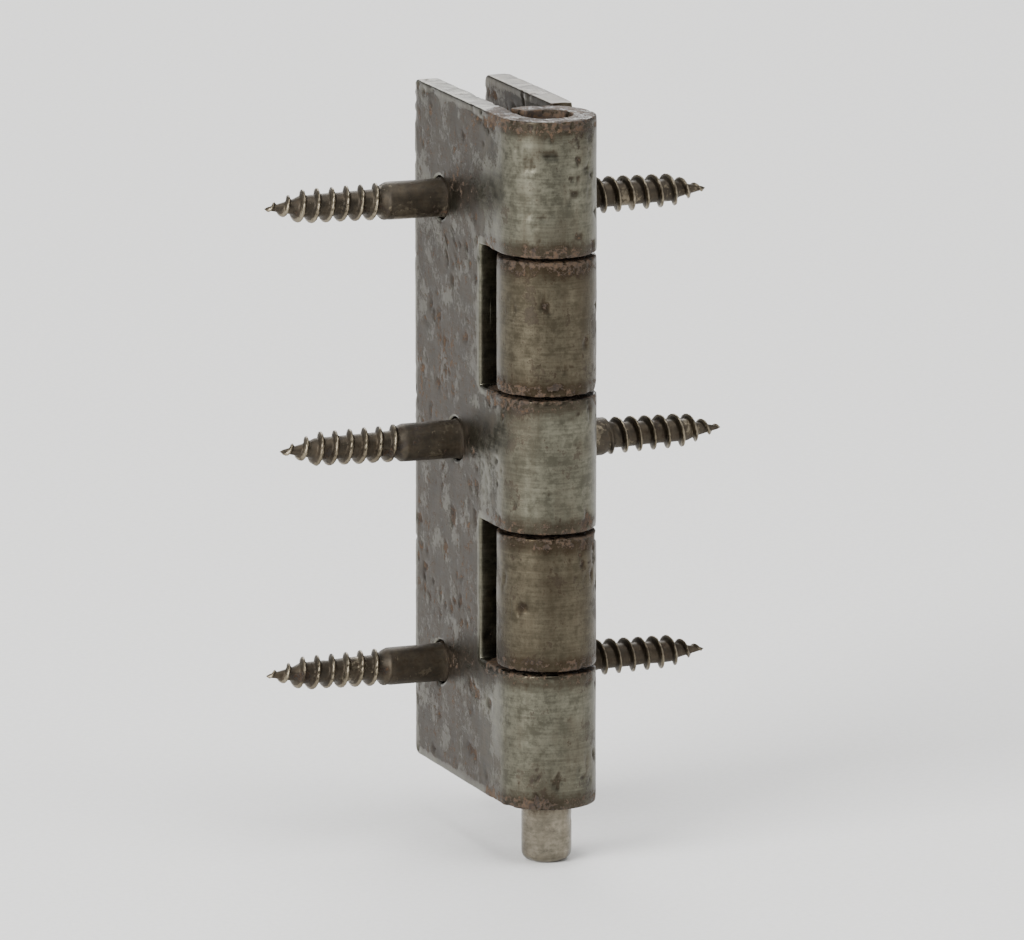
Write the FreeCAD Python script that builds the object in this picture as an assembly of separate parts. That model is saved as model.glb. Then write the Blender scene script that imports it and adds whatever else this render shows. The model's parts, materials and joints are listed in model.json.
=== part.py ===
"""Rolled-plate butt hinge with a loose pin, for an inset cupboard door.

Two leaves of iron plate are rolled round one pin and lie face to face, as they do when the door is
shut. One leaf is let into the edge of the corner post, the other into the edge of the door, so that
only the barrel shows. Three countersunk wood screws hold each leaf.

Frame, in millimetres: the origin is on the post leaf's outer face, midway between its top and bottom
screws. +Z runs up the pin, -Y looks out of the front of the cupboard, and +X runs from the post
towards the door. Each piece is built with the pin's axis on Z and then moved to its place.
"""
import FreeCAD, Part
import math
import os

V = FreeCAD.Vector

# Leaves
LEAF_HEIGHT = 63.5         # the hinge's nominal size, 2 1/2 in
LEAF_DEPTH = 22.2          # from the pin's axis to the back edge of a leaf
PLATE = 2.2                # thickness of the plate that is rolled
CORNER_RADIUS = 0.8        # the back corners of a leaf
KNUCKLES = 5               # 1, 3 and 5 belong to the post leaf, 2 and 4 to the door leaf
KNUCKLE_GAP = 0.3          # between one knuckle's end and the next
SEAM_GAP = 0.3             # between the end of the roll and the plate that it comes back to
BARREL_ROOM = 0.5          # between a cut-out's edge and the other leaf's knuckle

# Pin
PIN_DIAMETER = 4.6
PIN_SHORTFALL = 0.5        # how much shorter the pin is than the barrel
PIN_PLAY = 0.05            # between the pin and the bore, all round
PIN_DROP = 5.5             # how far the pin has crept down out of the barrel
PIN_END_RADIUS = 0.9

# Wood screws
SHANK_DIAMETER = 3.5
NECK_EXTRA = 0.2           # how much thicker the screw is at the foot of its head than lower down
HEAD_DIAMETER = 7.0
HEAD_SINK = 0.2            # how far the head lies under the face of the leaf
SCREW_LENGTH = 19.0
THREAD_LENGTH = 12.0
THREAD_START_DIAMETER = 3.3
THREAD_END_DIAMETER = 2.6
POINT_LENGTH = 3.2
POINT_DIAMETER = 0.4
SLOT_WIDTH = 1.0
SLOT_DEPTH = 1.0
HOLE_PLAY = 0.15           # between the neck and its hole, all round

# Where the screws stand on a leaf
END_MARGIN = 10.0          # from a leaf's end to its nearest screw
BACK_WALL = 3.0            # plate left behind the top and bottom countersinks
FRONT_WALL = 2.75          # plate left between the middle countersink and a cut-out
HOLE_MISMATCH = 0.8        # the door leaf's holes are punched this much lower than the post leaf's
POST_SLOT_ANGLES = {"top": 22.0, "middle": -51.0, "bottom": 78.0}   # degrees
DOOR_SLOT_ANGLES = {"top": -14.0, "middle": 63.0, "bottom": 35.0}

# What follows from them
PIN_RADIUS = PIN_DIAMETER / 2
BORE_RADIUS = PIN_RADIUS + PIN_PLAY
BARREL_RADIUS = BORE_RADIUS + PLATE
CUT_OUT_DEPTH = BARREL_RADIUS + BARREL_ROOM
KNUCKLE_PITCH = LEAF_HEIGHT / KNUCKLES
PIN_LENGTH = LEAF_HEIGHT - PIN_SHORTFALL
BOTTOM = -LEAF_HEIGHT / 2
NECK_RADIUS = (SHANK_DIAMETER + NECK_EXTRA) / 2
HOLE_RADIUS = NECK_RADIUS + HOLE_PLAY
SINK_RADIUS = HEAD_DIAMETER / 2 + HEAD_SINK
OUTER_SCREW_HEIGHT = LEAF_HEIGHT / 2 - END_MARGIN
OUTER_SCREW_DEPTH = LEAF_DEPTH - BACK_WALL - SINK_RADIUS
MIDDLE_SCREW_DEPTH = CUT_OUT_DEPTH + FRONT_WALL + SINK_RADIUS
PIN_PLACE = V(BARREL_RADIUS, -OUTER_SCREW_DEPTH, 0)


def around_pin(radius, angle):
    return V(radius * math.cos(angle), radius * math.sin(angle), BOTTOM)


def rolled_section():
    """A door leaf cut across the pin: flat plate behind, rolled round the pin in front."""
    roll_end = math.acos((BORE_RADIUS - SEAM_GAP) / BARREL_RADIUS) - 2 * math.pi
    roll_middle = roll_end / 2
    outer = [around_pin(BARREL_RADIUS, angle) for angle in (0, roll_middle, roll_end)]
    inner = [around_pin(BORE_RADIUS, angle) for angle in (roll_end, roll_middle, 0)]
    back_outer = V(BARREL_RADIUS, LEAF_DEPTH, BOTTOM)
    back_inner = V(BORE_RADIUS, LEAF_DEPTH, BOTTOM)
    edges = [
        Part.LineSegment(back_outer, outer[0]),
        Part.Arc(*outer),
        Part.LineSegment(outer[-1], inner[0]),
        Part.Arc(*inner),
        Part.LineSegment(inner[-1], back_inner),
        Part.LineSegment(back_inner, back_outer),
    ]
    return Part.Face(Part.Wire([edge.toShape() for edge in edges]))


def round_back_corners(blank):
    corners = []
    for edge in blank.Edges:
        middle = edge.CenterOfMass
        at_back = abs(middle.y - LEAF_DEPTH) < 1e-6
        at_end = abs(abs(middle.z) - LEAF_HEIGHT / 2) < 1e-6
        if at_back and at_end:
            corners.append(edge)
    return blank.makeFillet(CORNER_RADIUS, corners)


def cut_out(knuckle):
    """The space that a leaf leaves for one knuckle of the other leaf, counted from 0 at the bottom."""
    low = BOTTOM + knuckle * KNUCKLE_PITCH - KNUCKLE_GAP / 2
    high = low + KNUCKLE_PITCH + KNUCKLE_GAP
    if knuckle == 0:
        low -= KNUCKLE_PITCH
    if knuckle == KNUCKLES - 1:
        high += KNUCKLE_PITCH
    corner = V(-CUT_OUT_DEPTH, -CUT_OUT_DEPTH, low)
    return Part.makeBox(2 * CUT_OUT_DEPTH, 2 * CUT_OUT_DEPTH, high - low, corner)


def screw_places(lowered):
    """Each screw's depth behind the pin's axis and its height, for a leaf punched lower or not."""
    return {
        "top": (OUTER_SCREW_DEPTH, OUTER_SCREW_HEIGHT - lowered),
        "middle": (MIDDLE_SCREW_DEPTH, -lowered),
        "bottom": (OUTER_SCREW_DEPTH, -OUTER_SCREW_HEIGHT - lowered),
    }


def screw_hole(depth, height):
    """A countersunk hole, its wide mouth on the leaf's inner face."""
    seat = V(BORE_RADIUS, depth, height)
    sink = Part.makeCone(SINK_RADIUS, HOLE_RADIUS, SINK_RADIUS - HOLE_RADIUS, seat, V(1, 0, 0))
    hole = Part.makeCylinder(HOLE_RADIUS, 2 * PLATE, seat, V(1, 0, 0))
    return sink.fuse(hole)


def leaf(own_first, places):
    """A leaf on the door's side of the pin whose lowest knuckle is number own_first, 0 or 1."""
    blank = rolled_section().extrude(V(0, 0, LEAF_HEIGHT))
    blank = round_back_corners(blank)
    others = [cut_out(knuckle) for knuckle in range(KNUCKLES) if knuckle % 2 != own_first]
    holes = [screw_hole(*place) for place in places.values()]
    return blank.cut(others + holes).Solids[0]


def hinge_pin():
    foot = V(0, 0, BOTTOM - PIN_DROP)
    rod = Part.makeCylinder(PIN_RADIUS, PIN_LENGTH, foot)
    rims = [edge for edge in rod.Edges if isinstance(edge.Curve, Part.Circle)]
    return rod.makeFillet(PIN_END_RADIUS, rims)


def screw_body():
    """The screw turned about the X axis. Its lengths count from the leaf's inner face."""
    head_top = HEAD_SINK
    head_radius = HEAD_DIAMETER / 2
    head_foot = head_top + head_radius - NECK_RADIUS
    neck_end = max(PLATE, head_foot)
    tip = head_top + SCREW_LENGTH
    profile = [
        (head_top, 0),
        (head_top, head_radius),
        (head_foot, NECK_RADIUS),
        (neck_end, SHANK_DIAMETER / 2),
        (tip - THREAD_LENGTH, SHANK_DIAMETER / 2),
        (tip - THREAD_LENGTH, THREAD_START_DIAMETER / 2),
        (tip - POINT_LENGTH, THREAD_END_DIAMETER / 2),
        (tip, POINT_DIAMETER / 2),
        (tip, 0),
        (head_top, 0),
    ]
    outline = Part.makePolygon([V(along, radius, 0) for along, radius in profile])
    return Part.Face(outline).revolve(V(0, 0, 0), V(1, 0, 0), 360)


def wood_screw(place, slot_angle):
    """A slotted screw in its hole in the door leaf, its point towards +X."""
    corner = V(HEAD_SINK - SLOT_DEPTH, -SLOT_WIDTH / 2, -HEAD_DIAMETER)
    slot = Part.makeBox(2 * SLOT_DEPTH, SLOT_WIDTH, 2 * HEAD_DIAMETER, corner)
    screw = screw_body().cut(slot)
    screw.rotate(V(0, 0, 0), V(1, 0, 0), slot_angle)
    depth, height = place
    screw.translate(V(BORE_RADIUS, depth, height))
    return screw.Solids[0]


def on_the_post(shape):
    """The same piece on the other side of the pin."""
    return shape.mirror(V(0, 0, 0), V(1, 0, 0)).Solids[0]


def all_nodes():
    post_places = screw_places(lowered=0.0)
    door_places = screw_places(lowered=HOLE_MISMATCH)
    nodes = {
        "post_leaf": on_the_post(leaf(0, post_places)),
        "door_leaf": leaf(1, door_places),
        "hinge_pin": hinge_pin(),
    }
    for place, angle in POST_SLOT_ANGLES.items():
        nodes[f"post_screw_{place}"] = on_the_post(wood_screw(post_places[place], angle))
    for place, angle in DOOR_SLOT_ANGLES.items():
        nodes[f"door_screw_{place}"] = wood_screw(door_places[place], angle)
    return nodes


os.makedirs("parts", exist_ok=True)
for name, shape in all_nodes().items():
    shape.translate(PIN_PLACE)
    shape.exportStep(f"parts/{name}.step")
    print(f"{name}: {shape.Volume:.1f} mm3, closed {shape.isClosed()}, valid {shape.isValid()}")
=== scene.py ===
import json
import math

import bmesh
import bpy
from mathutils import Matrix, Vector, noise


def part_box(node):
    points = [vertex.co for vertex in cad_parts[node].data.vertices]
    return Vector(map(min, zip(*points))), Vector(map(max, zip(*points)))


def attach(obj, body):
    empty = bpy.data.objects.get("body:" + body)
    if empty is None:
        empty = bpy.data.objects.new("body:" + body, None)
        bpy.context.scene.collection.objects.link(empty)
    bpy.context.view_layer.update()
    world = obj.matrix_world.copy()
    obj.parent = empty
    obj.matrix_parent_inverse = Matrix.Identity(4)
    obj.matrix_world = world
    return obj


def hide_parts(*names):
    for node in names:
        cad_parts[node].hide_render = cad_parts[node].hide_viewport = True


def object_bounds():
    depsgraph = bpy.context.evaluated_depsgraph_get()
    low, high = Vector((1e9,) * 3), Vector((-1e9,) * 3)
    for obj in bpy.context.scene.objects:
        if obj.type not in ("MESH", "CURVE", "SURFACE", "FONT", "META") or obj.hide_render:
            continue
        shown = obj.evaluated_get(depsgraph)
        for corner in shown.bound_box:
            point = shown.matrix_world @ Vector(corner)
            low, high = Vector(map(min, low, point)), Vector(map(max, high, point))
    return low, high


# An old rolled-plate butt hinge, taken out of its cupboard with the door shut: two leaves of iron
# plate rolled round a loose pin, and six slotted wood screws. Shapes are built in millimetres with
# the pin's axis on Z, then moved to the pin's place in the frame and scaled to metres.

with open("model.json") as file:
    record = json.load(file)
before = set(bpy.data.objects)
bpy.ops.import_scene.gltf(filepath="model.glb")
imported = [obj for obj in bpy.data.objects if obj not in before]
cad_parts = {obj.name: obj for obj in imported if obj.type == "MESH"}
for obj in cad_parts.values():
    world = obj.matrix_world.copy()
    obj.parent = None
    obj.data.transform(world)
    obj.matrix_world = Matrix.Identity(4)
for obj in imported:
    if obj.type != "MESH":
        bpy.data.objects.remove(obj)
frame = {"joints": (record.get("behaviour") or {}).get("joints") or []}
cad_low, cad_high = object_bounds()

MM = 0.001


def box_mm(cad_node):
    """A CAD node's lowest and highest corners, in millimetres from the pin's place."""
    low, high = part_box(cad_node)
    return low / MM - PIN_AT, high / MM - PIN_AT


# ---------------------------------------------------------------- sizes, in mm
swing = next(joint for joint in frame["joints"] if joint["type"] == "hinge")
PIN_AT = Vector(swing["pos_m"]) / MM
leaf_low, leaf_high = box_mm("door_leaf")
pin_low, pin_high = box_mm("hinge_pin")

LEAF_HEIGHT = leaf_high.z - leaf_low.z
LEAF_DEPTH = leaf_high.y       # from the pin's axis to the leaf's back edge
BARREL_RADIUS = leaf_high.x
PIN_RADIUS = pin_high.x
PLATE = 2.2
BORE_RADIUS = BARREL_RADIUS - PLATE
KNUCKLES = 5
KNUCKLE_GAP = 0.3
KNUCKLE_PITCH = LEAF_HEIGHT / KNUCKLES
SEAM_GAP = 0.3                 # between the end of the roll and the plate that it comes back to
CUT_OUT_DEPTH = BARREL_RADIUS + 0.5
CORNER_RADIUS = 0.8
HOLE_RADIUS = 2.0
SINK_RADIUS = 3.7              # the wide mouth of a countersunk hole
EDGE_WEAR = 0.22               # how far a leaf's sharp edges have been rounded by use
PIN_END_RADIUS = 0.8
SHANK_RADIUS = 1.75
SLOT_WIDTH = 1.0
SLOT_DEPTH = 1.0
SLOT_WEAR = 0.07               # the same as EDGE_WEAR, for the slot in a screw's head
SLIVER = 0.06                  # the saw's leavings that are shorter than this are merged
THREAD_LENGTH = 12.0
THREAD_PITCH = 1.41            # 18 threads an inch
THREAD_DEPTH = 0.55
THREAD_RUN_IN = 1.5            # the length over which the thread comes up to its full depth
TAPER_LENGTH = 3.4             # the screw's point
TIP_RADIUS = 0.03
POST_SLOT_ANGLES = {"top": 22.0, "middle": -51.0, "bottom": 78.0}   # degrees
DOOR_SLOT_ANGLES = {"top": -14.0, "middle": 63.0, "bottom": 35.0}

# How finely the pieces are cut, before they are subdivided
ROLL_STEPS = 34                # round a knuckle
ZONE_ROWS = 9                  # up one knuckle
CUT_OUT_COLUMNS = 4            # beside a cut-out
FLAT_COLUMNS = 13              # behind the cut-outs
HOLE_MARGIN = 1.1              # mm of plain sheet that is given up round a countersink
ROUND_STEPS = 48               # round the pin and a screw
PIN_ROWS = 90                  # along the pin
CAP_RINGS = 3                  # across each of its ends
CAP_RING_WIDTH = 0.34          # mm

# How far across the marks of age are, in mm
SWELL_SIZE = 14.0              # the plate's slow unevenness
CHIPPED_STRETCH = 9.0          # a stretch of edge that has been knocked more than the next
RUSTED_FIELD = 6.5             # an area with small pits in it
DENT_SIZE = 2.6
HOLLOW_SIZE = 1.9              # a lone large pit
CHIP_SIZE = 1.3
RAGGED_SIZE = 0.85             # the small pits
CRUMB_SIZE = 0.38              # the unevenness of a pit's rim


# ---------------------------------------------------------------- materials
def srgb(code):
    """A linear colour from its sRGB hex code."""
    channels = [int(code[i : i + 2], 16) / 255 for i in (1, 3, 5)]
    linear = [c / 12.92 if c <= 0.04045 else ((c + 0.055) / 1.055) ** 2.4 for c in channels]
    return (*linear, 1.0)


def node(tree, kind, output=0, **given):
    """Adds a node with its settings and links, and gives one of its outputs.

    A name in small letters is a setting. The rest are inputs, each a value or another node's output:
    _ stands for a space in a socket's name, and _3 for socket number 3.
    """
    made = tree.nodes.new("ShaderNode" + kind)
    for name, value in given.items():
        if name[0].islower():
            setattr(made, name, value)
            continue
        socket = made.inputs[int(name[1:]) if name[1:].isdigit() else name.replace("_", " ")]
        if isinstance(value, bpy.types.NodeSocket):
            tree.links.new(value, socket)
        else:
            socket.default_value = value
    return made.outputs[output]


SMOOTH = {"interpolation_type": "SMOOTHSTEP"}
TIMES = {"operation": "MULTIPLY"}
COLOURS = {"data_type": "RGBA", "output": 2}
GRIME = "#1c1713"


def total(tree, *shares):
    """A weighted sum: each share is a value and its weight."""
    result = 0.0
    for value, weight in shares:
        part = node(tree, "Math", **TIMES, _0=value, _1=weight)
        result = node(tree, "Math", operation="ADD", _0=part, _1=result)
    return result


def blend(tree, value, low, high, under, on_top, most=1.0):
    """One colour where value is below low, going over to another, by most, where it is above high."""
    share = node(tree, "MapRange", **SMOOTH, Value=value, From_Min=low, From_Max=high, To_Max=most)
    return node(tree, "Mix", **COLOURS, _0=share, _6=under, _7=on_top)


def grain(tree, place, size, detail=5.0, roughness=0.62, stretch=(1, 1, 1), turn=0.0, shift=0.0):
    """Noise whose features are about size millimetres across, longer where stretch is under 1."""
    turned = (math.radians(turn), 0, math.radians(turn))
    moved = (shift, -shift, 0.7 * shift)
    laid = node(tree, "Mapping", Vector=place, Location=moved, Rotation=turned, Scale=stretch)
    per_metre = 1 / (size * MM)
    return node(tree, "TexNoise", "Fac", Vector=laid, Scale=per_metre, Detail=detail, Roughness=roughness)


def aged_iron(name, metal, oxide, rust, bare_share, rust_share, gloss):
    """Iron that has aged indoors: bare where it is rubbed, black scale elsewhere, rust where damp sat.

    metal, oxide and rust are pairs of colours. bare_share and rust_share, from 0 to 1, say how far the
    scale has gone and the rust has spread. gloss is the roughness of the bare metal.
    """
    material = bpy.data.materials.new(name)
    material.use_nodes = True
    tree = material.node_tree
    shader = tree.nodes["Principled BSDF"]
    place = node(tree, "TexCoord", "Object")
    worn = node(tree, "Attribute", "Fac", attribute_name="worn")
    high = node(tree, "Attribute", "Fac", attribute_name="high")
    pit = node(tree, "Attribute", "Fac", attribute_name="pit")
    damp = node(tree, "Attribute", "Fac", attribute_name="damp")
    shown = node(tree, "Attribute", "Fac", attribute_name="shown")
    edge = node(tree, "MapRange", **SMOOTH, Value=worn, From_Min=0.35, From_Max=0.95)

    # The mill's lines and the grit of rust are really under 0.1 mm apart, and are drawn at about
    # 0.2 mm, so that they show.
    cloud = grain(tree, place, 8.0, detail=3.0, shift=0.013)
    patch = grain(tree, place, 1.3, detail=7.0, roughness=0.66, shift=0.031)
    speck = grain(tree, place, 0.45, detail=5.0, roughness=0.7, shift=0.047)
    grit = grain(tree, place, 0.17, detail=3.0, shift=0.061)
    rolled = grain(tree, place, 0.22, detail=3.0, stretch=(0.06, 0.06, 1), shift=0.083)
    scratch = grain(tree, place, 0.30, detail=2.0, stretch=(1, 1, 0.035), turn=24, shift=0.017)
    scuff = grain(tree, place, 0.34, detail=2.0, stretch=(1, 1, 0.05), turn=-61, shift=0.029)
    run = grain(tree, place, 0.9, detail=4.0, stretch=(1, 1, 0.14), shift=0.053)

    # bare metal, mottled, with the mill's faint lines
    mottle = total(tree, (patch, 0.5), (speck, 0.3), (rolled, 0.2))
    colour = blend(tree, mottle, 0.4, 0.62, srgb(metal[0]), srgb(metal[1]))
    haze = total(tree, (cloud, 0.6), (patch, 0.25), (run, 0.25))
    colour = blend(tree, haze, 0.5, 0.68, colour, srgb(oxide[1]), most=0.5)

    # black scale, gone from high spots and edges, from scratches and from what is rubbed
    cover = total(tree, (patch, 0.5), (cloud, 0.35), (speck, 0.45))
    kept = total(tree, (cover, 1.0), (high, -0.2), (edge, -0.32), (shown, -0.17))
    limit = 0.34 + 0.3 * bare_share
    whole = node(tree, "MapRange", **SMOOTH, Value=kept, From_Min=limit, From_Max=limit + 0.12)
    along = node(tree, "MapRange", **SMOOTH, Value=scratch, From_Min=0.70, From_Max=0.74)
    across = node(tree, "MapRange", **SMOOTH, Value=scuff, From_Min=0.71, From_Max=0.76)
    marks = node(tree, "Math", operation="MAXIMUM", _0=along, _1=across)
    lost = node(tree, "Math", **TIMES, _0=marks, _1=0.55)
    scale = node(tree, "Math", operation="SUBTRACT", use_clamp=True, _0=whole, _1=lost)
    scale_mottle = total(tree, (patch, 0.45), (speck, 0.3), (cloud, 0.25))
    scale_tone = blend(tree, scale_mottle, 0.42, 0.6, srgb(oxide[0]), srgb(oxide[1]))
    colour = blend(tree, scale, 0.0, 1.0, colour, scale_tone, most=0.85)

    # rust, crisp at its ragged edge, in a wider brown stain
    ragged = total(tree, (speck, 0.55), (patch, 0.25), (cloud, 0.2), (run, 0.2))
    spread = total(tree, (ragged, 1.0), (damp, 0.34), (pit, 0.2), (edge, -0.1), (shown, -0.05))
    limit = 0.89 - 0.3 * rust_share
    colour = blend(tree, spread, limit - 0.2, limit, colour, srgb(rust[0]), most=0.65)
    rusty = node(tree, "MapRange", **SMOOTH, Value=spread, From_Min=limit, From_Max=limit + 0.06)
    rust_mottle = total(tree, (speck, 0.6), (grit, 0.4))
    rust_tone = blend(tree, rust_mottle, 0.4, 0.6, srgb(rust[0]), srgb(rust[1]))
    colour = node(tree, "Mix", **COLOURS, _0=rusty, _6=colour, _7=rust_tone)

    # grime lies in the pits and the joints
    low_place = total(tree, (pit, 0.5), (high, -0.4), (damp, 0.3))
    grime = node(tree, "MapRange", **SMOOTH, Value=low_place, From_Min=0.1, From_Max=0.75, To_Max=0.6)
    colour = node(tree, "Mix", **COLOURS, _0=grime, _6=colour, _7=srgb(GRIME))
    tree.links.new(colour, shader.inputs["Base Color"])

    dull = total(tree, (scale, 0.35), (rusty, 1.0), (grime, 0.5))
    bright = node(tree, "MapRange", **SMOOTH, Value=dull, From_Min=0.1, From_Max=0.95, To_Min=1, To_Max=0)
    tree.links.new(bright, shader.inputs["Metallic"])
    uneven = total(tree, (rolled, 0.12), (patch, 0.14))
    matt = total(tree, (uneven, 1.0), (scale, 0.12), (rusty, 0.38), (grime, 0.15), (edge, -0.05))
    mean_uneven = 0.13
    rough = node(tree, "Math", operation="ADD", use_clamp=True, _0=matt, _1=gloss - mean_uneven)
    tree.links.new(rough, shader.inputs["Roughness"])

    # the skin: scale stands a little proud of bare metal, and rust is a crust on both
    relief = total(tree, (scale, 0.3), (rusty, 0.5), (patch, 0.5), (marks, -0.35))
    crumbs = node(tree, "Math", **TIMES, _0=rusty, _1=speck)
    crust = total(tree, (crumbs, 1.0), (grit, 0.45), (rolled, 0.3))
    skin = node(tree, "Bump", Strength=0.6, Distance=0.06 * MM, Height=relief)
    fine = node(tree, "Bump", Strength=0.6, Distance=0.03 * MM, Height=crust, Normal=skin)
    tree.links.new(fine, shader.inputs["Normal"])
    return material


# ---------------------------------------------------------------- shared shaping
SHARP_ANGLE = 50    # degrees: an edge turned more than this is shaded as sharp


def new_object(name, data):
    made = bpy.data.objects.new(name, data)
    bpy.context.scene.collection.objects.link(made)
    return made


def mesh_from(name, shape):
    """The shape as a mesh. The shape itself is used up."""
    mesh = bpy.data.meshes.new(name)
    shape.to_mesh(mesh)
    shape.free()
    return mesh


def finish_piece(name, shape, body, cad_node, material):
    """Puts a shape built round the pin, in millimetres, into its place in the frame."""
    bmesh.ops.translate(shape, vec=PIN_AT, verts=shape.verts)
    bmesh.ops.scale(shape, vec=(MM, MM, MM), verts=shape.verts)
    mesh = mesh_from(name, shape)
    mesh.shade_smooth()
    mesh.set_sharp_from_angle(angle=math.radians(SHARP_ANGLE))
    mesh.materials.append(material)
    piece = new_object(name, mesh)
    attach(piece, body)
    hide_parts(cad_node)


def with_modifier(shape, kind, **settings):
    """The shape after one modifier."""
    mesh = mesh_from("workpiece", shape)
    piece = new_object("workpiece", mesh)
    modifier = piece.modifiers.new(kind, kind)
    for key, value in settings.items():
        setattr(modifier, key, value)
    made = bpy.data.meshes.new_from_object(piece.evaluated_get(bpy.context.evaluated_depsgraph_get()))
    bpy.data.objects.remove(piece)
    bpy.data.meshes.remove(mesh)
    result = bmesh.new()
    result.from_mesh(made)
    bpy.data.meshes.remove(made)
    return result


def smoothed(shape, levels):
    return with_modifier(shape, "SUBSURF", levels=levels, render_levels=levels)


def sharp_edges(shape, degrees):
    limit = math.radians(degrees)
    return [edge for edge in shape.edges if edge.is_manifold and edge.calc_face_angle(0.0) > limit]


def soften(shape, edges, width, segments=2):
    """Rounds these edges, and leaves in the attribute "worn" where they were."""
    made = bmesh.ops.bevel(
        shape,
        geom=edges,
        offset=width,
        offset_type="OFFSET",
        segments=segments,
        profile=0.5,
        affect="EDGES",
        clamp_overlap=True,
        material=-1,
    )
    worn = layer(shape, "worn")
    for face in made["faces"]:
        for vert in face.verts:
            vert[worn] = 1.0


def layer(shape, name):
    """A float attribute on the vertices, made if it isn't there."""
    layers = shape.verts.layers.float
    return layers.get(name) or layers.new(name)


def mark(shape, name, share):
    """Fills an attribute: share(point) gives its value."""
    marked = layer(shape, name)
    for vert in shape.verts:
        vert[marked] = share(vert.co)


def ramp(value, low, high):
    """0 below low, 1 above high, and smooth between."""
    share = min(1.0, max(0.0, (value - low) / (high - low)))
    return share * share * (3 - 2 * share)


def reach(point):
    """How far a point stands from the pin's axis."""
    return math.hypot(point.x, point.y)


def age(shape, seed, swell, dent, pitting, nick, edge_move, free):
    """Moves the skin as a century of use does. The heights are in mm.

    A rounded edge moves by edge_move at most, which is less than its radius, so that it doesn't fold
    over itself. free(point) is 0 where a running fit mustn't move. The attribute "high" says how far
    the skin stands out, from -1 to 1, and "pit" where it has rusted away, from 0 to 1.
    """
    worn, high, pit = layer(shape, "worn"), layer(shape, "high"), layer(shape, "pit")
    shift = Vector((seed * 17.3, seed * -9.1, seed * 5.7))
    shape.normal_update()
    moves = []
    for vert in shape.verts:
        at = vert.co + shift
        bumps = noise.noise(at / DENT_SIZE)
        field = ramp(noise.noise(at / RUSTED_FIELD), 0.0, 0.45)
        ragged = noise.noise(at / RAGGED_SIZE) + 0.45 * noise.noise(at / CRUMB_SIZE)
        hollow = ramp(ragged, 0.26, 0.62) * field
        hollow = max(hollow, ramp(noise.noise(at / HOLLOW_SIZE + shift) + 0.3 * ragged, 0.48, 0.82))
        chips = noise.noise(at / CHIP_SIZE) + 0.5 * noise.noise(at / CHIPPED_STRETCH)
        chip = vert[worn] * ramp(chips, 0.22, 0.7)
        height = swell * noise.noise(at / SWELL_SIZE) + dent * bumps - pitting * hollow - nick * chip
        most = edge_move + 1 - vert[worn]
        height = max(-most, min(most, height))
        vert[high] = bumps
        vert[pit] = hollow
        moves.append(vert.normal * height * free(vert.co))
    for vert, move in zip(shape.verts, moves):
        vert.co += move


# ---------------------------------------------------------------- leaves
def knuckle_zone(knuckle):
    """The bottom and top of one knuckle, counted from 0 at the bottom."""
    low = -LEAF_HEIGHT / 2 + knuckle * KNUCKLE_PITCH
    high = low + KNUCKLE_PITCH
    if knuckle > 0:
        low += KNUCKLE_GAP / 2
    if knuckle < KNUCKLES - 1:
        high -= KNUCKLE_GAP / 2
    return low, high


def even_cuts(low, high, count):
    """The places that cut the stretch from low to high into count equal parts."""
    return [low + (high - low) * cut / count for cut in range(1, count)]


def leaf_sheet(own_first):
    """The outer face of a door leaf's flat part, cut into squares, without its cut-outs."""
    shape = bmesh.new()
    to_side = Matrix(((0, 0, 1, BARREL_RADIUS), (1, 0, 0, 0), (0, 1, 0, 0), (0, 0, 0, 1)))
    size = Matrix.Diagonal((LEAF_DEPTH, LEAF_HEIGHT, 1, 1))
    middle = Matrix.Translation((0, LEAF_DEPTH / 2, 0))
    bmesh.ops.create_grid(shape, x_segments=1, y_segments=1, size=0.5, matrix=middle @ to_side @ size)
    own = [knuckle_zone(knuckle) for knuckle in range(own_first, KNUCKLES, 2)]
    ends = sorted({end for zone in own for end in zone} | {-LEAF_HEIGHT / 2, LEAF_HEIGHT / 2})
    heights = ends[1:-1]
    for low, high in zip(ends, ends[1:]):
        heights += even_cuts(low, high, ZONE_ROWS)
    depths = [CUT_OUT_DEPTH]
    depths += even_cuts(0, CUT_OUT_DEPTH, CUT_OUT_COLUMNS)
    depths += even_cuts(CUT_OUT_DEPTH, LEAF_DEPTH, FLAT_COLUMNS)
    for places, normal in ((heights, Vector((0, 0, 1))), (depths, Vector((0, 1, 0)))):
        for place in places:
            everything = shape.verts[:] + shape.edges[:] + shape.faces[:]
            bmesh.ops.bisect_plane(shape, geom=everything, plane_co=normal * place, plane_no=normal)
    cut_out = []
    for face in shape.faces:
        centre = face.calc_center_median()
        if centre.y < CUT_OUT_DEPTH and not any(low < centre.z < high for low, high in own):
            cut_out.append(face)
    bmesh.ops.delete(shape, geom=cut_out, context="FACES")
    return shape


def open_hole(shape, depth, height):
    """Opens a round hole in the sheet, with the squares running smoothly up to it."""
    centre = Vector((BARREL_RADIUS, depth, height))
    around = SINK_RADIUS + HOLE_MARGIN
    patch = []
    for face in shape.faces:
        away = face.calc_center_median() - centre
        if abs(away.y) < around and abs(away.z) < around:
            patch.append(face)
    rim = {edge for face in patch for edge in face.edges if sum(f in patch for f in edge.link_faces) == 1}
    bmesh.ops.delete(shape, geom=patch, context="FACES")
    made = bmesh.ops.extrude_edge_only(shape, edges=list(rim))["geom"]
    for vert in (item for item in made if isinstance(item, bmesh.types.BMVert)):
        vert.co = centre + (vert.co - centre).normalized() * HOLE_RADIUS


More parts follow.
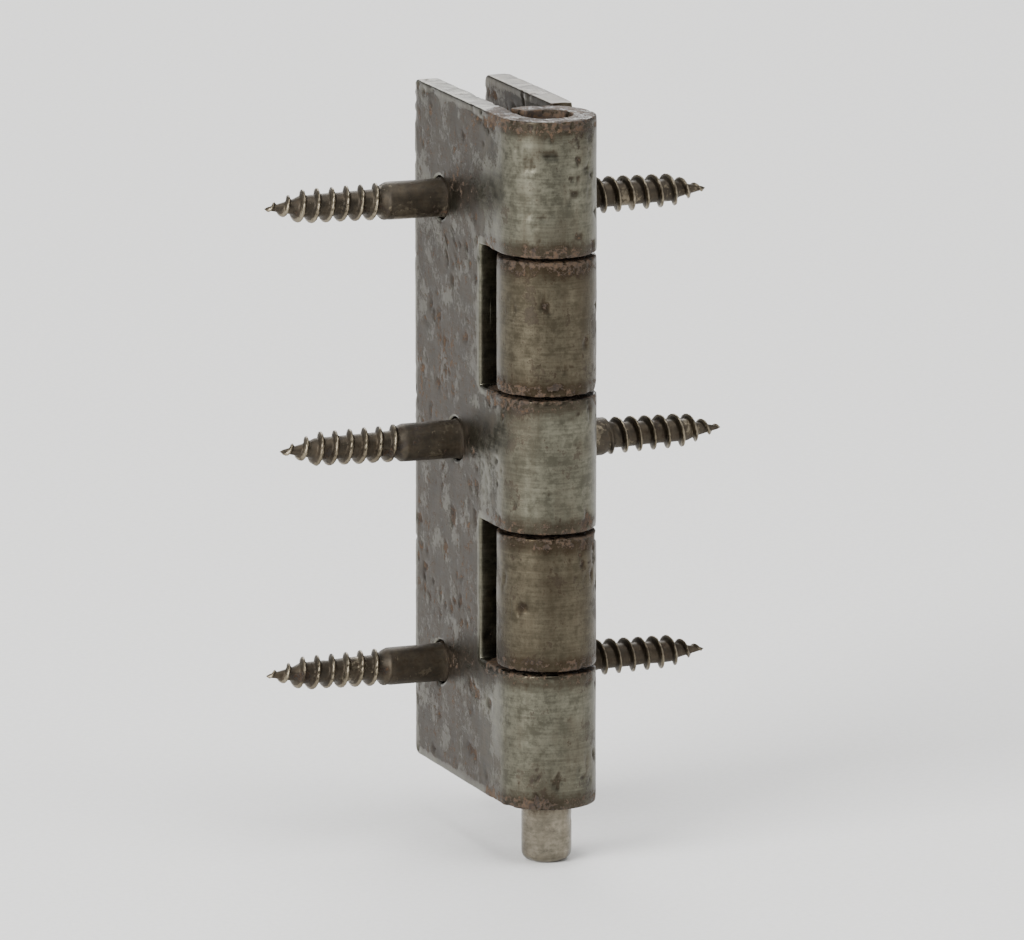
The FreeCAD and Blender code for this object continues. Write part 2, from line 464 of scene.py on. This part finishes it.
def roll(shape):
    """Rolls the sheet's front edge round the pin and back to the plate."""
    front = [edge for edge in shape.edges if all(abs(vert.co.y) < 1e-4 for vert in edge.verts)]
    verts = list({vert for edge in front for vert in edge.verts})
    turn = 2 * math.pi - math.acos((BORE_RADIUS - SEAM_GAP) / BARREL_RADIUS)
    axis = {"cent": (0, 0, 0), "axis": (0, 0, 1), "dvec": (0, 0, 0)}
    bmesh.ops.spin(shape, geom=front + verts, angle=-turn, steps=ROLL_STEPS, use_merge=False, **axis)


def round_back_corners(shape):
    corners = []
    for edge in shape.edges:
        one, other = (vert.co for vert in edge.verts)
        crosses = abs(one.x - other.x) > PLATE / 2
        at_back = min(one.y, other.y) > LEAF_DEPTH - 0.01
        at_end = min(abs(one.z), abs(other.z)) > LEAF_HEIGHT / 2 - 0.01
        if crosses and at_back and at_end:
            corners.append(edge)
    soften(shape, corners, CORNER_RADIUS, segments=3)


def countersink(shape, depth, height):
    """Opens the hole's wall into a cone towards the leaf's inner face."""

    def away(vert):
        return Vector((0, vert.co.y - depth, vert.co.z - height))

    wall = []
    for edge in shape.edges:
        on_wall = all(away(vert).length < HOLE_RADIUS + 0.05 and vert.co.x > 0 for vert in edge.verts)
        if on_wall and abs(edge.verts[0].co.x - edge.verts[1].co.x) > PLATE / 2:
            wall.append(edge)
    made = bmesh.ops.subdivide_edges(shape, edges=wall, cuts=1)["geom_inner"]
    for vert in (item for item in made if isinstance(item, bmesh.types.BMVert)):
        vert.co.x = BORE_RADIUS + SINK_RADIUS - HOLE_RADIUS
    for vert in shape.verts:
        if away(vert).length < HOLE_RADIUS + 0.05 and abs(vert.co.x - BORE_RADIUS) < 0.05:
            vert.co += away(vert).normalized() * (SINK_RADIUS - HOLE_RADIUS)


def trim_hole_wear(shape, places):
    """Keeps the wear round a hole to a narrow ring."""
    worn = layer(shape, "worn")
    for vert in shape.verts:
        rim = SINK_RADIUS if vert.co.x < BARREL_RADIUS - PLATE / 2 else HOLE_RADIUS
        for place in places:
            away = math.hypot(vert.co.y - place.y, vert.co.z - place.z)
            if rim < away < rim + 3:
                vert[worn] *= 1 - ramp(away, rim + 0.1, rim + 0.5)


def near_joint(height):
    """1 at a joint between two knuckles or at the barrel's ends, 0 well away from them."""
    from_joint = (height / KNUCKLE_PITCH) % 1.0
    return 1 - ramp(abs(from_joint - 0.5) * KNUCKLE_PITCH, 0.0, 2.4)


def leaf_damp(point):
    """Damp sits at the joints and inside the roll, and where the plate lies against the wood."""
    on_barrel = 1 - ramp(reach(point), CUT_OUT_DEPTH, CUT_OUT_DEPTH + 2.0)
    inside = 1 - ramp(reach(point), BORE_RADIUS + 0.2, BORE_RADIUS + 1.2)
    in_the_wood = 0.3 * ramp(point.y, 3.0, 7.0)
    return max(on_barrel * near_joint(point.z), inside, in_the_wood)


def leaf_shown(point):
    """The front of the barrel shows with the door shut, and it is what hands rub."""
    return ramp(-point.y, -3.5, 0.5)


def build_leaf(side, own_first, screws, seed, material):
    """One leaf. own_first is the number of its lowest knuckle, 0 or 1, and screws are its CAD nodes."""
    shape = leaf_sheet(own_first)
    places = [sum(box_mm(screw), Vector()) / 2 for screw in screws]
    for place in places:
        open_hole(shape, place.y, place.z)
    roll(shape)
    bmesh.ops.recalc_face_normals(shape, faces=shape.faces)
    bmesh.ops.solidify(shape, geom=shape.faces[:], thickness=PLATE)
    bmesh.ops.recalc_face_normals(shape, faces=shape.faces)
    for place in places:
        countersink(shape, place.y, place.z)
    round_back_corners(shape)
    soften(shape, sharp_edges(shape, degrees=40), EDGE_WEAR)
    shape = smoothed(shape, levels=2)
    trim_hole_wear(shape, places)
    mark(shape, "damp", leaf_damp)
    mark(shape, "shown", leaf_shown)

    def free(point):
        return ramp(reach(point), BORE_RADIUS + 0.1, BORE_RADIUS + 0.9)

    age(shape, seed, swell=0.05, dent=0.03, pitting=0.16, nick=0.08, edge_move=0.12, free=free)
    place_on_side(shape, side)
    finish_piece(f"{side}_leaf_rolled", shape, f"{side}_side", f"{side}_leaf", material)


def place_on_side(shape, side):
    """Everything is built for the door's side of the pin, and mirrored for the post's."""
    if side == "post":
        bmesh.ops.scale(shape, vec=(-1, 1, 1), verts=shape.verts)
        bmesh.ops.recalc_face_normals(shape, faces=shape.faces)


# ---------------------------------------------------------------- pin
def build_pin(material):
    """The loose rod, its cut ends rounded over by the hammer that drove it."""
    length = pin_high.z - pin_low.z
    middle = Matrix.Translation((0, 0, (pin_high.z + pin_low.z) / 2))
    shape = bmesh.new()
    bmesh.ops.create_cone(
        shape,
        cap_ends=True,
        segments=ROUND_STEPS,
        radius1=PIN_RADIUS,
        radius2=PIN_RADIUS,
        depth=length,
        matrix=middle,
    )
    soften(shape, sharp_edges(shape, degrees=60), PIN_END_RADIUS, segments=5)
    sides = [edge for edge in shape.edges if edge.calc_length() > length / 2]
    bmesh.ops.subdivide_edges(shape, edges=sides, cuts=PIN_ROWS)
    caps = [face for face in shape.faces if len(face.verts) == ROUND_STEPS]
    for _ in range(CAP_RINGS):
        bmesh.ops.inset_region(shape, faces=caps, thickness=CAP_RING_WIDTH, use_even_offset=True)
    bmesh.ops.poke(shape, faces=caps)
    shape = smoothed(shape, levels=1)
    mark(shape, "damp", lambda point: 0.8 * near_joint(point.z))
    mark(shape, "shown", lambda point: 1.0)

    def free(point):
        """Only the ends have lost their shape. The rest runs true in the bores."""
        foot = ramp(-point.z, LEAF_HEIGHT / 2, LEAF_HEIGHT / 2 + 1)
        top = ramp(point.z, pin_high.z - 2, pin_high.z)
        return max(foot, top)

    age(shape, 4.0, swell=0.01, dent=0.02, pitting=0.06, nick=0.08, edge_move=0.12, free=free)
    finish_piece("pin_rod", shape, "pin", "hinge_pin", material)


# ---------------------------------------------------------------- screws
def screw_blank(length, head_radius):
    """The screw before its thread is cut, turned about X from its head's face to its point."""
    head_foot = head_radius - SHANK_RADIUS
    thread_start = length - THREAD_LENGTH
    # each point's place along the screw, its radius, and the cuts in the edge to the next point
    outline = [
        (0.0, 0.0, 7),                                   # the head's face
        (0.0, head_radius - 0.15, 0),                    # the head's rim, rounded over
        (0.06, head_radius - 0.03, 0),
        (0.2, head_radius - 0.06, 5),                    # the head's cone
        (head_foot - 0.15, SHANK_RADIUS + 0.16, 0),      # the curve under the head
        (head_foot + 0.45, SHANK_RADIUS, 10),            # the shank
        (thread_start, SHANK_RADIUS, 92),                # the thread
        (length - TAPER_LENGTH, 1.55, 34),               # the point
        (length - 0.3, 0.30, 4),
        (length, TIP_RADIUS, 0),
    ]
    shape = bmesh.new()
    verts = [bmesh.ops.create_vert(shape, co=(along, out, 0))["vert"][0] for along, out, _ in outline]
    edges = [bmesh.ops.contextual_create(shape, geom=pair)["edges"][0] for pair in zip(verts, verts[1:])]
    for edge, (_, _, cuts) in zip(edges, outline):
        if cuts:
            bmesh.ops.subdivide_edges(shape, edges=[edge], cuts=cuts)
    bmesh.ops.spin(
        shape,
        geom=shape.verts[:] + shape.edges[:],
        cent=(0, 0, 0),
        axis=(1, 0, 0),
        dvec=(0, 0, 0),
        angle=2 * math.pi,
        steps=ROUND_STEPS,
        use_merge=True,
    )
    bmesh.ops.remove_doubles(shape, verts=shape.verts, dist=1e-4)
    ends = [edge for edge in shape.edges if edge.is_boundary]
    bmesh.ops.holes_fill(shape, edges=ends)
    bmesh.ops.recalc_face_normals(shape, faces=shape.faces)
    return shape


def cut_thread(shape, length, start_turn):
    """Cuts the groove between the threads, shallow where it begins, and marks the crests as worn."""
    worn = layer(shape, "worn")
    thread_start = length - THREAD_LENGTH
    for vert in shape.verts:
        along = vert.co.x
        radius = math.hypot(vert.co.y, vert.co.z)
        if along < thread_start or radius < 1.5 * TIP_RADIUS:
            continue
        turn = along / THREAD_PITCH - math.atan2(vert.co.z, vert.co.y) / (2 * math.pi) + start_turn
        from_crest = abs(turn % 1.0 - 0.5) * 2
        groove = ramp(from_crest, 0.10, 0.46)
        depth = THREAD_DEPTH * groove * ramp(along, thread_start, thread_start + THREAD_RUN_IN)
        depth = min(depth, 0.45 * radius)
        vert[worn] = (1 - groove) * ramp(along, thread_start + 0.4, thread_start + THREAD_RUN_IN + 0.1)
        vert.co.y *= 1 - depth / radius
        vert.co.z *= 1 - depth / radius


def cut_slot(shape, head_radius):
    """Saws the slot across the head."""
    saw = bmesh.new()
    blade = Matrix.Diagonal((2 * SLOT_DEPTH, SLOT_WIDTH, 3 * head_radius, 1.0))
    bmesh.ops.create_cube(saw, size=1.0, matrix=blade)
    mesh = mesh_from("saw", saw)
    cutter = new_object("saw", mesh)
    shape = with_modifier(shape, "BOOLEAN", object=cutter, operation="DIFFERENCE", solver="EXACT")
    bpy.data.objects.remove(cutter)
    bpy.data.meshes.remove(mesh)
    return shape


def on_head(edge):
    """Whether an edge is on the head, above the slot's floor."""
    return min(vert.co.x for vert in edge.verts) < SLOT_DEPTH - 0.05


def in_slot(point):
    """Whether a point is in the lower half of the slot, before the screw is turned."""
    return abs(point.y) < SLOT_WIDTH / 2 + 0.02 and SLOT_DEPTH / 2 < point.x < SLOT_DEPTH + 0.02


def screw_damp(point):
    """Damp and dirt lie in the slot, and under the head where it sits in the leaf."""
    return 0.9 if in_slot(point) else 0.4 * (1 - ramp(point.x, 1.0, 2.6))


def build_screw(side, place, slot_angle, seed, material):
    """One screw, at its CAD node's place, with its slot at its own angle."""
    cad_node = f"{side}_screw_{place}"
    low, high = box_mm(cad_node)
    length = high.x - low.x
    head_radius = (high.y - low.y) / 2
    shape = cut_slot(screw_blank(length, head_radius), head_radius)
    head = [vert for vert in shape.verts if vert.co.x < SLOT_DEPTH + 0.1]
    bmesh.ops.remove_doubles(shape, verts=head, dist=SLIVER)
    rims = [edge for edge in sharp_edges(shape, degrees=40) if edge.is_convex and on_head(edge)]
    soften(shape, rims, SLOT_WEAR)
    cut_thread(shape, length, seed * 0.37)
    mark(shape, "damp", screw_damp)
    mark(shape, "shown", lambda point: 0.0)
    wear = {"swell": 0.02, "dent": 0.025, "pitting": 0.06, "nick": 0.05, "edge_move": 0.04}
    age(shape, seed, free=lambda point: 1.0, **wear)
    turned = Matrix.Rotation(math.radians(slot_angle), 3, "X")
    bmesh.ops.rotate(shape, cent=(0, 0, 0), matrix=turned, verts=shape.verts)
    place_on_side(shape, side)
    head_face = high.x if side == "post" else low.x
    middle = (low + high) / 2
    bmesh.ops.translate(shape, vec=(head_face, middle.y, middle.z), verts=shape.verts)
    finish_piece(f"{cad_node}_threaded", shape, f"{side}_side", cad_node, material)


# ---------------------------------------------------------------- the hinge
# Wrought iron plate: a mid grey sheen where it is rubbed, near-black scale, dark brown rust. The
# post's knuckles are the lighter ones. The door's have kept more scale, and all its colours are also
# darker as painted shade.
post_iron = aged_iron(
    "wrought iron plate, rolled and rubbed grey",
    metal=("#4a483e", "#6f6d60"),
    oxide=("#28241e", "#494237"),
    rust=("#291e14", "#4b3722"),
    bare_share=0.64,
    rust_share=0.44,
    gloss=0.36,
)
# The door's iron is partly real, with more scale and rust than the post's. It is partly painted shade,
# with every colour darkened for the shade on the door's recessed knuckles.
door_iron_with_painted_shade = aged_iron(
    "wrought iron plate, browned, with painted shade",
    metal=("#403b30", "#5f594b"),
    oxide=("#241f19", "#3e362b"),
    rust=("#271c12", "#46331f"),
    bare_share=0.56,
    rust_share=0.47,
    gloss=0.38,
)
# Drawn steel rod: brighter and smoother, because it runs in the bores.
pin_steel = aged_iron(
    "drawn steel rod, rubbed bright",
    metal=("#625d52", "#878072"),
    oxide=("#332e27", "#554d41"),
    rust=("#2d2117", "#523b25"),
    bare_share=0.75,
    rust_share=0.36,
    gloss=0.3,
)
# Iron wood screws, hot-browned: dark in the grooves, bright on the crests and at the slot.
screw_iron = aged_iron(
    "iron wood screw, browned",
    metal=("#655d4f", "#89806f"),
    oxide=("#29241e", "#463e32"),
    rust=("#2a1f14", "#4b3621"),
    bare_share=0.42,
    rust_share=0.5,
    gloss=0.42,
)

build_leaf("door", 1, [f"door_screw_{place}" for place in DOOR_SLOT_ANGLES], 1.0, door_iron_with_painted_shade)
build_leaf("post", 0, [f"post_screw_{place}" for place in POST_SLOT_ANGLES], 2.0, post_iron)
build_pin(pin_steel)
for number, place in enumerate(POST_SLOT_ANGLES):
    build_screw("post", place, POST_SLOT_ANGLES[place], 5.0 + number, screw_iron)
    build_screw("door", place, DOOR_SLOT_ANGLES[place], 8.0 + number, screw_iron)


# ---------------------------------------------------------------- floor, lights and camera
CAMERA_AZIMUTH = -20.8      # degrees, from straight in front towards the post
CAMERA_ELEVATION = 11.7
CAMERA_DISTANCE = 1.04      # metres
CAMERA_LENS = 400
FLOOR_RADIUS = 4.0          # metres
middle_of_hinge = (cad_low + cad_high) / 2


def towards(azimuth, elevation):
    """The direction from the hinge to a place round it; azimuth 0 is straight in front."""
    around, up = math.radians(azimuth), math.radians(elevation)
    return Vector((math.sin(around) * math.cos(up), -math.cos(around) * math.cos(up), math.sin(up)))


def stand(thing, azimuth, elevation, distance):
    """Puts a light or the camera round the hinge, looking at it."""
    standing = new_object(thing.name, thing)
    back = towards(azimuth, elevation)
    standing.location = middle_of_hinge + back * distance
    standing.rotation_euler = (-back).to_track_quat("-Z", "Y").to_euler()
    return standing


def soft_box(name, azimuth, elevation, distance, size, power):
    """A square light, its distance and size in metres and its power in watts."""
    light = bpy.data.lights.new(name, "AREA")
    light.shape = "SQUARE"
    light.size = size
    light.energy = power
    stand(light, azimuth, elevation, distance).visible_camera = False


def pale_floor():
    """Matt pale paper, with a faint tooth that is drawn coarser than real paper's, so that it shows."""
    material = bpy.data.materials.new("pale paper")
    material.use_nodes = True
    tree = material.node_tree
    shader = tree.nodes["Principled BSDF"]
    tooth = grain(tree, node(tree, "TexCoord", "Object"), 0.6, detail=3.0)
    tone = blend(tree, tooth, 0.3, 0.7, srgb("#eeedea"), srgb("#f3f2f0"))
    tree.links.new(tone, shader.inputs["Base Color"])
    shader.inputs["Roughness"].default_value = 0.9
    shape = bmesh.new()
    bmesh.ops.create_circle(shape, cap_ends=True, segments=96, radius=FLOOR_RADIUS)
    bmesh.ops.translate(shape, vec=(0, 0, cad_low.z), verts=shape.verts)
    mesh = mesh_from("floor", shape)
    mesh.materials.append(material)
    new_object("floor", mesh)


def studio():
    """Plain soft light: a dim sky and four soft boxes, the key one on the post's side."""
    world = bpy.data.worlds.new("studio")
    world.use_nodes = True
    background = world.node_tree.nodes["Background"]
    background.inputs["Color"].default_value = srgb("#f2f4f7")
    background.inputs["Strength"].default_value = 0.45
    bpy.context.scene.world = world
    soft_box("key", azimuth=-66, elevation=24, distance=1.2, size=0.7, power=22.0)
    soft_box("fill", azimuth=48, elevation=16, distance=1.5, size=0.9, power=6.0)
    soft_box("top", azimuth=20, elevation=74, distance=1.3, size=0.8, power=12.0)
    soft_box("back", azimuth=165, elevation=34, distance=1.4, size=0.9, power=14.0)


pale_floor()
studio()
lens = bpy.data.cameras.new("camera")
lens.lens = CAMERA_LENS
lens.clip_start = 0.01
lens.clip_end = 20.0
bpy.context.scene.camera = stand(lens, CAMERA_AZIMUTH, CAMERA_ELEVATION, CAMERA_DISTANCE)
